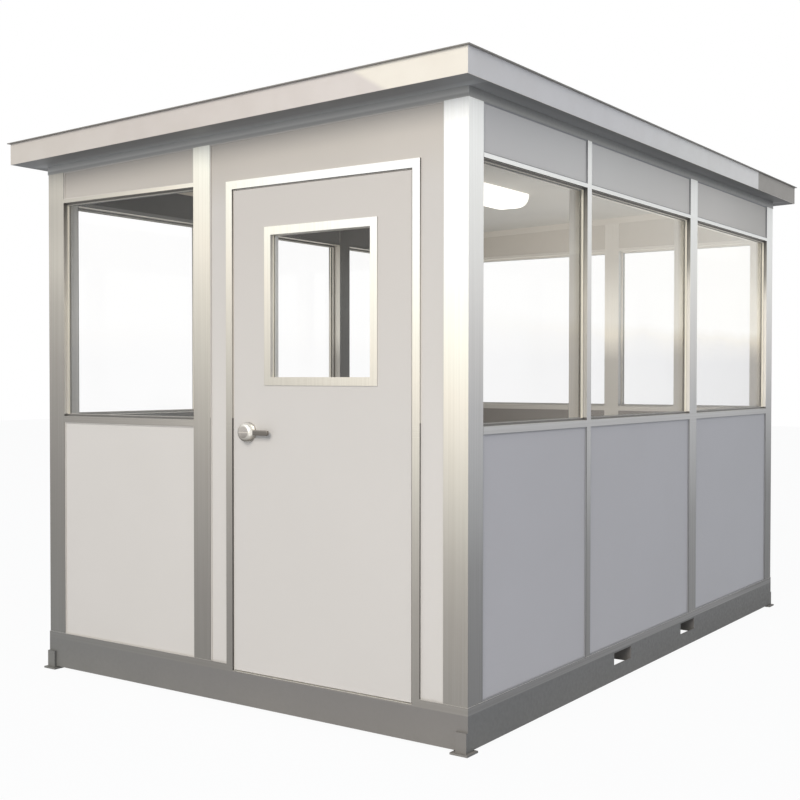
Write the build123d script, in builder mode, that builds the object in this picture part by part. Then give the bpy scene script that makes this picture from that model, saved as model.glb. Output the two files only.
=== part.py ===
"""Guard booth: a steel skid base, an aluminium post-and-track frame with sandwich panels and
fixed windows, one hinged door with a lever lock, and a shallow single-pitch roof."""
from build123d import *
import os

# ---------------------------------------------------------------- overall size (mm)
booth_width = 2438.4        # across the door end, X
booth_length = 3657.6       # along the glazed sides, Y
wall_thickness = 95.0       # outer face to inner face
soffit_height = 2546.0      # underside of the roof over the high (+X) wall face
roof_slope = 0.027          # rise of the roof for each millimetre towards +X

# ---------------------------------------------------------------- skid base
ground_gap = 12.0           # ground to the underside of the base rails
base_height = 138.0
rail_web = 6.0
rail_flange = 60.0
flange_thickness = 4.0
pocket_width = 192.0        # clear width of a forklift pocket
pocket_offset = 415.0       # pocket centre from the booth's centre line
pocket_sill = 71.0          # underside of the rail to the bottom of the pocket
channel_plate = 4.0
channel_drop = 16.0         # how far the channel walls hang below the pocket's bottom edge
joist_thickness = 6.0
joist_height = 60.0
joist_spacing = 560.0
floor_rise = 5.0            # finished floor above the base rails

# ---------------------------------------------------------------- feet
foot_plate = 80.0
foot_plate_thickness = 8.0
foot_inset = 67.0           # booth corner to the plate's inner edge, across the end
foot_reach = 25.0           # end face to the plate's outer edge
leg_width = 50.0
leg_proud = 12.0            # leg in front of the end rail
leg_height = 75.0           # above the underside of the rail
anchor_radius = 3.5
anchor_inset = 58.5
anchor_reach = 18.5

# ---------------------------------------------------------------- aluminium frame
skin = 2.0                  # flange thickness of posts, tracks and rails
bottom_track_height = 31.5
top_track_height = 40.0
corner_face = 114.0         # visible face of a corner post on each wall
end_post_face = 101.6       # post between the bays of the door end and of the back
narrow_stud_face = 42.0
wide_stud_face = 102.0
left_stud_shift = 25.0      # the left wall's studs stand nearer the door end
corner_radius = 2.5
lip = 16.0                  # depth of the slot in a post
gasket = 5.0                # between a post's outer lip and the panel
play = 1.0                  # panel edge to the bottom of its slot
top_play = 0.5              # panel top to the web of the top track

# ---------------------------------------------------------------- bays
door_bay = 1229.8           # the front window's bay takes the rest of the door end
back_window_bay = 892.0
side_first_bay = 906.0
side_middle_bay = 1202.0

# ---------------------------------------------------------------- windows
sill_top = 1252.0
sill_face = 30.0
head_drop = 252.0           # high soffit down to the window heads
head_face = 18.0
rail_lap = 10.0             # how far a sill or head flange laps over its panel
bead_width = 10.0
bead_setback = 18.0         # outer wall face to the outer glazing bead
bead_depth = 12.0
glass_thickness = 6.0

# ---------------------------------------------------------------- door frame
door_opening = 952.0
opening_drop = 284.0        # high soffit down to the top of the doorway
jamb_face = 35.5
door_to_corner = 109.5      # corner post to the hinge jamb
door_gap = 7.0              # leaf to jamb and head
threshold_gap = 5.5         # leaf to threshold
door_recess = 6.5           # leaf face behind the frame's face
leaf_thickness = 44.5

# ---------------------------------------------------------------- door window
vision_width = 526.0        # clear glass inside the trim
vision_height = 606.0
vision_drop = 205.0         # leaf top down to the clear glass
vision_offset = 6.0         # window centre from the leaf's centre, towards the hinges
trim_width = 35.5
trim_proud = 4.0
trim_sleeve = 6.0

# ---------------------------------------------------------------- hinges
hinge_count = 3
hinge_height = 100.0
hinge_inset = 180.0         # leaf end to the centre of the outer hinges
hinge_plate = 3.0
hinge_leaf_width = 38.0
knuckle_radius = 6.0
knuckle_clearance = 0.5
pin_setback = 7.0           # leaf's inner face to the pin
pin_radius = 3.0
pin_clearance = 0.3

# ---------------------------------------------------------------- lever lock
lock_backset = 84.0
lock_height = 1205.0
rose_radius = 44.0
rose_depth = 8.0
case_radius = 27.0
case_clearance = 0.3
spindle_radius = 9.0
spindle_clearance = 0.3
hub_radius = 40.0
hub_depth = 28.0
hub_clearance = 0.5
hub_round = 3.0
lever_reach = 137.0         # spindle axis to the lever's tip
lever_height = 27.0
lever_thickness = 15.0

# ---------------------------------------------------------------- roof
end_overhang = 152.0
side_overhang = 88.0
fascia_height = 101.0
fascia_thickness = 3.0
roof_sheet_thickness = 4.0
drip_edge = 12.0            # roof sheet past the fascia

# ---------------------------------------------------------------- ceiling light
light_width = 252.0
light_length = 1219.0
light_depth = 73.0
light_corner = 85.0
light_round = 68.0          # the diffuser's lower edges
light_x = 79.0
light_y = -50.0

# ---------------------------------------------------------------- worked-out sizes
base_bottom = ground_gap
base_top = base_bottom + base_height
frame_bottom = base_top + skin
floor_top = base_top + floor_rise
half_width = booth_width / 2
half_length = booth_length / 2
front_window_bay = booth_width - 2 * corner_face - end_post_face - door_bay
head_bottom = soffit_height - head_drop
door_opening_top = soffit_height - opening_drop
tall = soffit_height + roof_slope * booth_width
post_outer = skin
post_inner = wall_thickness - skin
slot_outer = post_outer + skin
slot_inner = post_inner - skin
panel_outer = slot_outer + gasket
glass_outer = bead_setback + bead_depth
glass_inner = glass_outer + glass_thickness

os.makedirs("parts", exist_ok=True)

# Each wall is drawn on its own plan plane: local x runs along the wall from its first corner,
# local y runs inwards from the wall's outer face.
wall_planes = {
    "front": Plane(origin=(-half_width, -half_length, 0), x_dir=(1, 0, 0), z_dir=(0, 0, 1)),
    "right": Plane(origin=(half_width, -half_length, 0), x_dir=(0, 1, 0), z_dir=(0, 0, 1)),
    "back": Plane(origin=(half_width, half_length, 0), x_dir=(-1, 0, 0), z_dir=(0, 0, 1)),
    "left": Plane(origin=(-half_width, half_length, 0), x_dir=(0, -1, 0), z_dir=(0, 0, 1)),
}
wall_lengths = {"front": booth_width, "right": booth_length, "back": booth_width, "left": booth_length}


def post_edges(wall):
    """Start and end of each post between the corner posts of a wall."""
    first = corner_face
    if wall == "front":
        return [(first + front_window_bay, first + front_window_bay + end_post_face)]
    if wall == "back":
        return [(first + back_window_bay, first + back_window_bay + end_post_face)]
    narrow = first + side_first_bay
    wide = narrow + narrow_stud_face + side_middle_bay
    edges = [(narrow, narrow + narrow_stud_face), (wide, wide + wide_stud_face)]
    if wall == "left":
        near = [(start - left_stud_shift, end - left_stud_shift) for start, end in edges]
        edges = [(booth_length - end, booth_length - start) for start, end in reversed(near)]
    return edges


def bay_edges(wall):
    """Start and end of each bay between the posts of a wall."""
    edges = [corner_face]
    for start, end in post_edges(wall):
        edges += [start, end]
    edges.append(wall_lengths[wall] - corner_face)
    return list(zip(edges[0::2], edges[1::2]))


window_bays = {wall: bay_edges(wall) for wall in wall_planes}
door_bay_start, door_bay_end = window_bays["front"].pop()

# The doorway, along the front wall and in X.
opening_end = door_bay_end - door_to_corner - jamb_face
opening_start = opening_end - door_opening
frame_start = opening_start - jamb_face
frame_end = opening_end + jamb_face
frame_top = door_opening_top + jamb_face
leaf_left = opening_start + door_gap - half_width
leaf_right = opening_end - door_gap - half_width
leaf_bottom = floor_top + threshold_gap
leaf_top = door_opening_top - door_gap
leaf_outer = -half_length + door_recess
leaf_inner = leaf_outer + leaf_thickness
vision_x = (leaf_left + leaf_right) / 2 + vision_offset
vision_z = leaf_top - vision_drop - vision_height / 2


def elevation(wall, depth):
    """A wall seen from outside, at a depth in it: local x runs along the wall, local y is up."""
    plan = wall_planes[wall]
    return Plane(origin=plan.origin + plan.y_dir * depth, x_dir=plan.x_dir, z_dir=-plan.y_dir)


def slab(wall, along, depth, height, mode=Mode.ADD):
    """A block of wall between two distances along it, two depths in it and two heights."""
    with BuildSketch(elevation(wall, depth[0])) as face:
        with Locations(((along[0] + along[1]) / 2, (height[0] + height[1]) / 2)):
            Rectangle(along[1] - along[0], height[1] - height[0])
    extrude(face.sketch, amount=depth[0] - depth[1], mode=mode)


def rim(width, length, inset_outer, inset_inner, low, high, mode=Mode.ADD):
    """A rectangular ring in plan between two insets from a rectangle's edge."""
    with BuildSketch(Plane.XY.offset(low)) as ring:
        Rectangle(width - 2 * inset_outer, length - 2 * inset_outer)
        Rectangle(width - 2 * inset_inner, length - 2 * inset_inner, mode=Mode.SUBTRACT)
    extrude(ring.sketch, amount=high - low, mode=mode)


def soffit_z(x):
    """Height of the roof's underside at x."""
    return soffit_height + roof_slope * (x - half_width)


def roof_slice(reach_x, reach_y, low, high, mode=Mode.ADD):
    """A slab that follows the roof between two heights over its underside."""
    with BuildSketch(Plane(origin=(0, -reach_y, 0), x_dir=(1, 0, 0), z_dir=(0, -1, 0))) as end_face:
        Polygon((-reach_x, soffit_z(-reach_x) + low), (reach_x, soffit_z(reach_x) + low),
                (reach_x, soffit_z(reach_x) + high), (-reach_x, soffit_z(-reach_x) + high), align=None)
    extrude(end_face.sketch, amount=-2 * reach_y, mode=mode)


def trim_to_roof(drop):
    """Cut away everything higher than the roof's underside less drop."""
    roof_slice(booth_width, booth_length, -drop, tall, Mode.SUBTRACT)


def write(part, name):
    part.label = name
    export_step(part, f"parts/{name}.step")


# ================================================================ skid base
pocket_bottom = base_bottom + pocket_sill
channel_roof = base_top - flange_thickness
pocket_top = channel_roof - channel_plate

for wall, plan in wall_planes.items():
    # A channel section with its web outwards, mitred at both ends.
    section = Plane(origin=plan.origin + Vector(0, 0, base_bottom), x_dir=plan.y_dir, z_dir=plan.x_dir)
    run = wall_lengths[wall]
    with BuildPart() as base_rail:
        with BuildSketch(section):
            Rectangle(rail_flange, base_height, align=Align.MIN)
            with Locations((rail_web, flange_thickness)):
                Rectangle(rail_flange, base_height - 2 * flange_thickness, align=Align.MIN,
                          mode=Mode.SUBTRACT)
        extrude(amount=run)
        with BuildSketch(plan.offset(base_bottom)):
            Polygon((0, 0), (run, 0), (run - rail_flange, rail_flange), (rail_flange, rail_flange),
                    align=None)
        extrude(amount=base_height, mode=Mode.INTERSECT)
        if run == booth_length:
            for centre in (half_length - pocket_offset, half_length + pocket_offset):
                slab(wall, (centre - pocket_width / 2, centre + pocket_width / 2), (0, rail_web),
                     (pocket_bottom, pocket_top), Mode.SUBTRACT)
    write(base_rail.part, f"base_rail_{wall}")

# Forklift pockets: upside-down channels from side rail to side rail.
for name, centre in (("front", -pocket_offset), ("back", pocket_offset)):
    with BuildPart() as fork_channel:
        with BuildSketch(Plane.YZ.offset(rail_web - half_width)):
            with Locations((centre, channel_roof)):
                Rectangle(pocket_width + 2 * channel_plate,
                          channel_roof - pocket_bottom + channel_drop, align=(Align.CENTER, Align.MAX))
            with Locations((centre, pocket_top)):
                Rectangle(pocket_width, pocket_top - pocket_bottom + channel_drop,
                          align=(Align.CENTER, Align.MAX), mode=Mode.SUBTRACT)
        extrude(amount=booth_width - 2 * rail_web)
    write(fork_channel.part, f"fork_channel_{name}")

# Floor: one plate, on joists that reach the webs of the side rails.
with BuildPart() as floor_deck:
    with BuildSketch(Plane.XY.offset(channel_roof)):
        Rectangle(booth_width - 2 * wall_thickness, booth_length - 2 * wall_thickness)
    extrude(amount=floor_top - channel_roof)
write(floor_deck.part, "floor_deck")

joist_offsets = [0.0]
for step in (1, 2):
    joist_offsets += [pocket_offset + step * joist_spacing, -pocket_offset - step * joist_spacing]

with BuildPart() as floor_joists:
    with BuildSketch(Plane.XY.offset(channel_roof - joist_height)):
        with Locations(*[(0, offset) for offset in joist_offsets]):
            Rectangle(booth_width - 2 * rail_web, joist_thickness)
    extrude(amount=joist_height)
write(floor_joists.part, "floor_joists")

# Feet: a plate on the ground and a leg up the end rail's face, flush with the side.
with BuildPart() as feet:
    for side, end in ((-1, -1), (1, -1), (-1, 1), (1, 1)):
        rise = side * end
        corner = Plane(origin=(side * half_width, end * half_length, 0),
                       x_dir=(-side, 0, 0), z_dir=(0, 0, rise))
        with BuildSketch(corner):
            with Locations((foot_inset - foot_plate / 2, foot_plate / 2 - foot_reach)):
                Rectangle(foot_plate, foot_plate)
            with Locations((anchor_inset, -anchor_reach)):
                Circle(anchor_radius, mode=Mode.SUBTRACT)
        extrude(amount=rise * foot_plate_thickness)
        with BuildSketch(corner.offset(rise * foot_plate_thickness)):
            with Locations((leg_width / 2, leg_width / 2 - leg_proud)):
                Rectangle(leg_width, leg_width)
        extrude(amount=rise * (base_bottom - foot_plate_thickness))
        with BuildSketch(corner.offset(rise * base_bottom)):
            with Locations((leg_width / 2, -leg_proud / 2)):
                Rectangle(leg_width, leg_proud)
        extrude(amount=rise * leg_height)
write(feet.part, "feet")

# ================================================================ tracks and posts
with BuildPart() as bottom_track:
    rim(booth_width, booth_length, 0, wall_thickness, base_top, base_top + bottom_track_height)
    rim(booth_width, booth_length, skin, post_inner, frame_bottom, tall, Mode.SUBTRACT)
    slab("front", (frame_start, frame_end), (0, wall_thickness),
         (base_top, base_top + bottom_track_height), Mode.SUBTRACT)
write(bottom_track.part, "bottom_track")

with BuildPart() as track_slot:
    rim(booth_width, booth_length, skin, post_inner, 0, tall)
    trim_to_roof(skin)

with BuildPart() as top_track:
    roof_slice(half_width, half_length, -top_track_height, 0)
    with BuildSketch(Plane.XY):
        Rectangle(booth_width - 2 * wall_thickness, booth_length - 2 * wall_thickness)
    extrude(amount=tall, mode=Mode.SUBTRACT)
    add(track_slot.part, mode=Mode.SUBTRACT)
write(top_track.part, "top_track")

inner_lip_end = corner_face - lip + play

with BuildPart() as corner_posts:
    for wall, plan in wall_planes.items():
        with BuildSketch(plan.offset(frame_bottom)) as corner_section:
            with Locations((post_outer, post_outer)):
                Rectangle(corner_face - post_outer, corner_face - post_outer, align=Align.MIN)
            fillet(corner_section.vertices().sort_by_distance(plan.origin)[0], corner_radius)
            with Locations((post_inner, post_inner)):
                Rectangle(corner_face, corner_face, align=Align.MIN, mode=Mode.SUBTRACT)
            span = slot_inner - slot_outer
            for x, y in ((slot_outer, slot_outer), (post_inner, slot_outer), (slot_outer, post_inner)):
                with Locations((x, y)):
                    Rectangle(span, span, align=Align.MIN, mode=Mode.SUBTRACT)
            # Indoors the lips only reach the panels' edges.
            for x, y in ((inner_lip_end, slot_outer), (slot_outer, inner_lip_end)):
                with Locations((x, y)):
                    Rectangle(post_inner, post_inner, align=Align.MIN, mode=Mode.SUBTRACT)
        extrude(amount=tall)
    trim_to_roof(skin)
write(corner_posts.part, "corner_posts")


def posts(wall):
    """The posts of a wall: hollow boxes with a slot on both sides for the panels."""
    for start, end in post_edges(wall):
        slab(wall, (start, end), (post_outer, post_inner), (frame_bottom, tall))
        for a, b in ((start, start + lip), (start + lip + skin, end - lip - skin), (end - lip, end)):
            slab(wall, (a, b), (slot_outer, slot_inner), (frame_bottom, tall), Mode.SUBTRACT)
    trim_to_roof(skin)


for wall, name in (("front", "front_post"), ("back", "back_post"),
                   ("right", "right_studs"), ("left", "left_studs")):
    with BuildPart() as wall_posts:
        posts(wall)
    write(wall_posts.part, name)

# ================================================================ panels, windows and glass
panel_top = sill_top - sill_face + rail_lap - play
header_bottom = head_bottom + head_face - rail_lap + play
tuck = lip - play

for wall in wall_planes:
    with BuildPart() as wall_panels:
        for start, end in window_bays[wall]:
            reach = (start - tuck, end + tuck)
            slab(wall, reach, (panel_outer, slot_inner), (frame_bottom, panel_top))
            slab(wall, reach, (panel_outer, slot_inner), (header_bottom, tall))
        trim_to_roof(skin + top_play)
    write(wall_panels.part, f"{wall}_panels")

    # Window frames: a ring in the posts' slots, a sill and a head flange, and two glazing beads.
    with BuildPart() as window_frames:
        for start, end in window_bays[wall]:
            body = (sill_top - sill_face + rail_lap, head_bottom + head_face - rail_lap)
            slab(wall, (start - tuck, end + tuck), (slot_outer, slot_inner), body)
            for outer, inner in ((post_outer, slot_outer), (slot_inner, post_inner)):
                slab(wall, (start, end), (outer, inner), (sill_top - sill_face, sill_top))
                slab(wall, (start, end), (outer, inner), (head_bottom, head_bottom + head_face))
            slab(wall, (start, end), (slot_outer, bead_setback), (sill_top, head_bottom), Mode.SUBTRACT)
            slab(wall, (start + bead_width, end - bead_width), (bead_setback, glass_inner + bead_depth),
                 (sill_top + bead_width, head_bottom - bead_width), Mode.SUBTRACT)
            slab(wall, (start, end), (glass_outer, glass_inner), (sill_top, head_bottom), Mode.SUBTRACT)
            slab(wall, (start, end), (glass_inner + bead_depth, slot_inner), (sill_top, head_bottom),
                 Mode.SUBTRACT)
    write(window_frames.part, f"{wall}_window_frames")

    with BuildPart() as glass:
        for start, end in window_bays[wall]:
            slab(wall, (start + play, end - play), (glass_outer, glass_inner),
                 (sill_top + play, head_bottom - play))
    write(glass.part, f"{wall}_glass")

# The door bay's panel, split beside and over the doorway.
for name, along, bottom in (("left", (door_bay_start - tuck, frame_start), frame_bottom),
                            ("right", (frame_end, door_bay_end + tuck), frame_bottom),
                            ("head", (frame_start, frame_end), frame_top)):
    with BuildPart() as door_panel:
        slab("front", along, (panel_outer, slot_inner), (bottom, tall))
        trim_to_roof(skin + top_play)
    write(door_panel.part, f"door_panel_{name}")

# ================================================================ doorway
frame_depth = door_recess + leaf_thickness

with BuildPart() as door_frame:
    slab("front", (frame_start, frame_end), (0, frame_depth), (base_top, frame_top))
    slab("front", (opening_start, opening_end), (0, frame_depth), (base_top, door_opening_top),
         Mode.SUBTRACT)
write(door_frame.part, "door_frame")

with BuildPart() as threshold:
    slab("front", (opening_start, opening_end), (0, wall_thickness), (base_top, floor_top))
    slab("front", (frame_start, frame_end), (frame_depth, wall_thickness), (base_top, floor_top))
write(threshold.part, "threshold")

# ================================================================ door leaf
pin_x = opening_end - half_width - door_gap / 2
pin_y = leaf_inner + pin_setback
lock_x = leaf_left + lock_backset
hinge_step = (leaf_top - leaf_bottom - 2 * hinge_inset) / (hinge_count - 1)
hinge_heights = [leaf_bottom + hinge_inset + i * hinge_step for i in range(hinge_count)]
cutout_width = vision_width + 2 * trim_sleeve
cutout_height = vision_height + 2 * trim_sleeve
leaf_centre = (leaf_left + leaf_right) / 2
leaf_face = Plane(origin=(0, leaf_outer, 0), x_dir=(1, 0, 0), z_dir=(0, -1, 0))
leaf_back = leaf_face.offset(-leaf_thickness)

with BuildPart() as door_leaf:
    with BuildSketch(leaf_face):
        with Locations((leaf_centre, (leaf_bottom + leaf_top) / 2)):
            Rectangle(leaf_right - leaf_left, leaf_top - leaf_bottom)
        with Locations((vision_x, vision_z)):
            Rectangle(cutout_width, cutout_height, mode=Mode.SUBTRACT)
        with Locations((lock_x, lock_height)):
            Circle(case_radius + case_clearance, mode=Mode.SUBTRACT)
    extrude(amount=-leaf_thickness)
write(door_leaf.part, "door_leaf")

with BuildPart() as door_glass:
    with BuildSketch(leaf_face.offset((glass_thickness - leaf_thickness) / 2 - glass_thickness)):
        with Locations((vision_x, vision_z)):
            Rectangle(cutout_width - 2 * play, cutout_height - 2 * play)
    extrude(amount=glass_thickness)
write(door_glass.part, "door_glass")

# Window trim: one flanged sleeve from each face of the leaf, with the glass between them.
sleeve = (leaf_thickness - glass_thickness) / 2
with BuildPart() as door_window_trim:
    for face, out in ((leaf_face, 1), (leaf_back, -1)):
        with BuildSketch(face):
            with Locations((vision_x, vision_z)):
                Rectangle(vision_width + 2 * trim_width, vision_height + 2 * trim_width)
                Rectangle(vision_width, vision_height, mode=Mode.SUBTRACT)
        extrude(amount=out * trim_proud)
        with BuildSketch(face):
            with Locations((vision_x, vision_z)):
                Rectangle(cutout_width, cutout_height)
                Rectangle(vision_width, vision_height, mode=Mode.SUBTRACT)
        extrude(amount=-out * sleeve)
write(door_window_trim.part, "door_window_trim")

# ================================================================ lever lock
def disc(radius, bore, low, high):
    """A ring about the lock's axis between two distances in front of the leaf's outer face."""
    with BuildSketch(leaf_face.offset(low)) as ring:
        with Locations((lock_x, lock_height)):
            Circle(radius)
            if bore:
                Circle(bore, mode=Mode.SUBTRACT)
    extrude(ring.sketch, amount=high - low)


spindle_bore = spindle_radius + spindle_clearance
hub_start = rose_depth + hub_clearance
hub_end = rose_depth + hub_depth

with BuildPart() as lock_case:
    disc(rose_radius, spindle_bore, 0, rose_depth)
    disc(case_radius, spindle_bore, -leaf_thickness, 0)
    disc(rose_radius, spindle_bore, -leaf_thickness - rose_depth, -leaf_thickness)
write(lock_case.part, "lock_case")

with BuildPart() as lever_handle:
    for low, high in ((hub_start, hub_end), (-leaf_thickness - hub_end, -leaf_thickness - hub_start)):
        disc(hub_radius, 0, low, high)
    hub_rims = lever_handle.edges().filter_by(GeomType.CIRCLE)
    fillet(hub_rims.sort_by(Axis.Y)[:1] + hub_rims.sort_by(Axis.Y)[-1:], hub_round)
    disc(spindle_radius, 0, -leaf_thickness - hub_end + hub_round, hub_end - hub_round)
    tip_radius = lever_height / 2
    for low in (hub_end - lever_thickness - hub_round, hub_round - leaf_thickness - hub_end):
        with BuildSketch(leaf_face.offset(low)):
            with Locations((lock_x, lock_height)):
                Rectangle(lever_reach - tip_radius, lever_height, align=(Align.MIN, Align.CENTER))
            with Locations((lock_x + lever_reach - tip_radius, lock_height)):
                Circle(tip_radius)
        extrude(amount=lever_thickness)
write(lever_handle.part, "lever_handle")

# ================================================================ hinges
knuckle = hinge_height / 3 - knuckle_clearance
leaf_inset = pin_setback                  # the plates stop short of the other half's knuckles


def round_bar(radius, bottom, height, mode=Mode.ADD):
    """A length of bar, or of bore, about the hinge pins' axis."""
    with BuildSketch(Plane(origin=(pin_x, pin_y, bottom))) as circle:
        Circle(radius)
    extrude(circle.sketch, amount=height, mode=mode)


def plate(side, low, high, near):
    """A hinge plate lying on the jamb (side 1) or on the leaf's edge (side -1)."""
    face = pin_x + side * door_gap / 2
    with BuildSketch(Plane.XY.offset(low)) as outline:
        with Locations((face - side * hinge_plate / 2, pin_y - near)):
            Rectangle(hinge_plate, hinge_leaf_width - near, align=(Align.CENTER, Align.MAX))
    extrude(outline.sketch, amount=high - low)


with BuildPart() as hinges_fixed:
    for centre in hinge_heights:
        bottom = centre - hinge_height / 2
        plate(1, bottom, bottom + hinge_height, leaf_inset)
        for low in (bottom, bottom + hinge_height - knuckle):
            plate(1, low, low + knuckle, 0)
            round_bar(knuckle_radius, low, knuckle)
        round_bar(pin_radius, bottom, hinge_height)
write(hinges_fixed.part, "hinges_fixed")

with BuildPart() as hinges_moving:
    for centre in hinge_heights:
        bottom = centre - hinge_height / 2
        middle = centre - knuckle / 2
        plate(-1, bottom, bottom + hinge_height, leaf_inset)
        plate(-1, middle, middle + knuckle, 0)
        round_bar(knuckle_radius, middle, knuckle)
        round_bar(pin_radius + pin_clearance, bottom, hinge_height, Mode.SUBTRACT)
write(hinges_moving.part, "hinges_moving")

# ================================================================ roof
roof_half_width = half_width + side_overhang
roof_half_length = half_length + end_overhang

with BuildPart() as roof_panel:
    roof_slice(roof_half_width - fascia_thickness, roof_half_length - fascia_thickness, 0, fascia_height)
write(roof_panel.part, "roof_panel")

with BuildPart() as roof_fascia:
    roof_slice(roof_half_width, roof_half_length, 0, fascia_height)
    roof_slice(roof_half_width - fascia_thickness, roof_half_length - fascia_thickness,
               -fascia_height, 2 * fascia_height, Mode.SUBTRACT)
write(roof_fascia.part, "roof_fascia")

with BuildPart() as roof_sheet:
    roof_slice(roof_half_width + drip_edge, roof_half_length + drip_edge, fascia_height,
               fascia_height + roof_sheet_thickness)
write(roof_sheet.part, "roof_sheet")

with BuildPart() as ceiling_light:
    with BuildSketch(Plane.XY.offset(soffit_z(light_x) - light_depth)):
        with Locations((light_x, light_y)):
            RectangleRounded(light_width, light_length, light_corner)
    extrude(amount=tall)
    fillet(ceiling_light.faces().sort_by(Axis.Z)[0].edges(), light_round)
    trim_to_roof(0)
write(ceiling_light.part, "ceiling_light")
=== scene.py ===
import math

import bpy
from mathutils import Matrix, Vector


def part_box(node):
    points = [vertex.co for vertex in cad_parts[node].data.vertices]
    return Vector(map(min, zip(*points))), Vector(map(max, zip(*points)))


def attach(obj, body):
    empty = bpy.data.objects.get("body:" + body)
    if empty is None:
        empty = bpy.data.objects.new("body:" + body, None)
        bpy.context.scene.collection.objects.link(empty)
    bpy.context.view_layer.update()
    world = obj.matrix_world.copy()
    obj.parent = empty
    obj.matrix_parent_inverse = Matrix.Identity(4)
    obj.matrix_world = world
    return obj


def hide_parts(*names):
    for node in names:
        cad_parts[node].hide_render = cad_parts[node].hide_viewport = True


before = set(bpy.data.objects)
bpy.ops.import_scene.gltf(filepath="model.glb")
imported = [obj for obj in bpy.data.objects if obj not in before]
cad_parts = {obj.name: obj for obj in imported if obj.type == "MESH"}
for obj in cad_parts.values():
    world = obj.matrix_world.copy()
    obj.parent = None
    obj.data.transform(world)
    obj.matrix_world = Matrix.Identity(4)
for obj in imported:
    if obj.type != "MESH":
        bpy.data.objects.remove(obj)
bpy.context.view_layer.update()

half_width, half_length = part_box("bottom_track")[1][:2]
# Sizes that several finishes and pieces share, in metres, and the share of a normal past which a
# face counts as turned that way.
wall_depth, mid_wall = 0.095, 0.05
left_lining = wall_depth + 0.03 - half_width
corner_face, track_top = 0.114, 0.1815
roof_underside, roof_fall = 2.546, 0.027
squarely = 0.5
bpy.ops.object.select_all(action="DESELECT")

# ------------------------------------------------------------------------------------------------
# Skid base: channel rails welded at mitred corners, with forklift pockets, joists and foot plates.
# Structural steel in one coat of sprayed grey enamel, dusty low down.
# ------------------------------------------------------------------------------------------------


def tint(red, green, blue, alpha=1.0):
    """A colour from a paint card, 0 to 255, as the shaders take it."""
    return tuple((c / 255 / 12.92 if c / 255 < 0.04045 else ((c / 255 + 0.055) / 1.055) ** 2.4)
                 for c in (red, green, blue)) + (alpha,)


class Wire:
    """An output socket that takes part in sums like a number does."""

    def __init__(self, finish, socket):
        self.finish = finish
        self.socket = socket

    def sum(self, operation, first, second):
        return self.finish.add("ShaderNodeMath", {"operation": operation}, {0: first, 1: second})

    def __add__(self, other):
        return self.sum("ADD", self, other)

    def __mul__(self, other):
        return self.sum("MULTIPLY", self, other)

    def __sub__(self, other):
        return self.sum("SUBTRACT", self, other)

    def __rsub__(self, other):
        return self.sum("SUBTRACT", other, self)

    def __gt__(self, other):
        return self.sum("GREATER_THAN", self, other)

    def __lt__(self, other):
        return self.sum("LESS_THAN", self, other)

    def __abs__(self):
        return self.sum("ABSOLUTE", self, 0.0)

    __radd__ = __add__
    __rmul__ = __mul__


def within(value, low, high):
    """Whether a value lies between two limits."""
    return (value > low) * (value < high)


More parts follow.
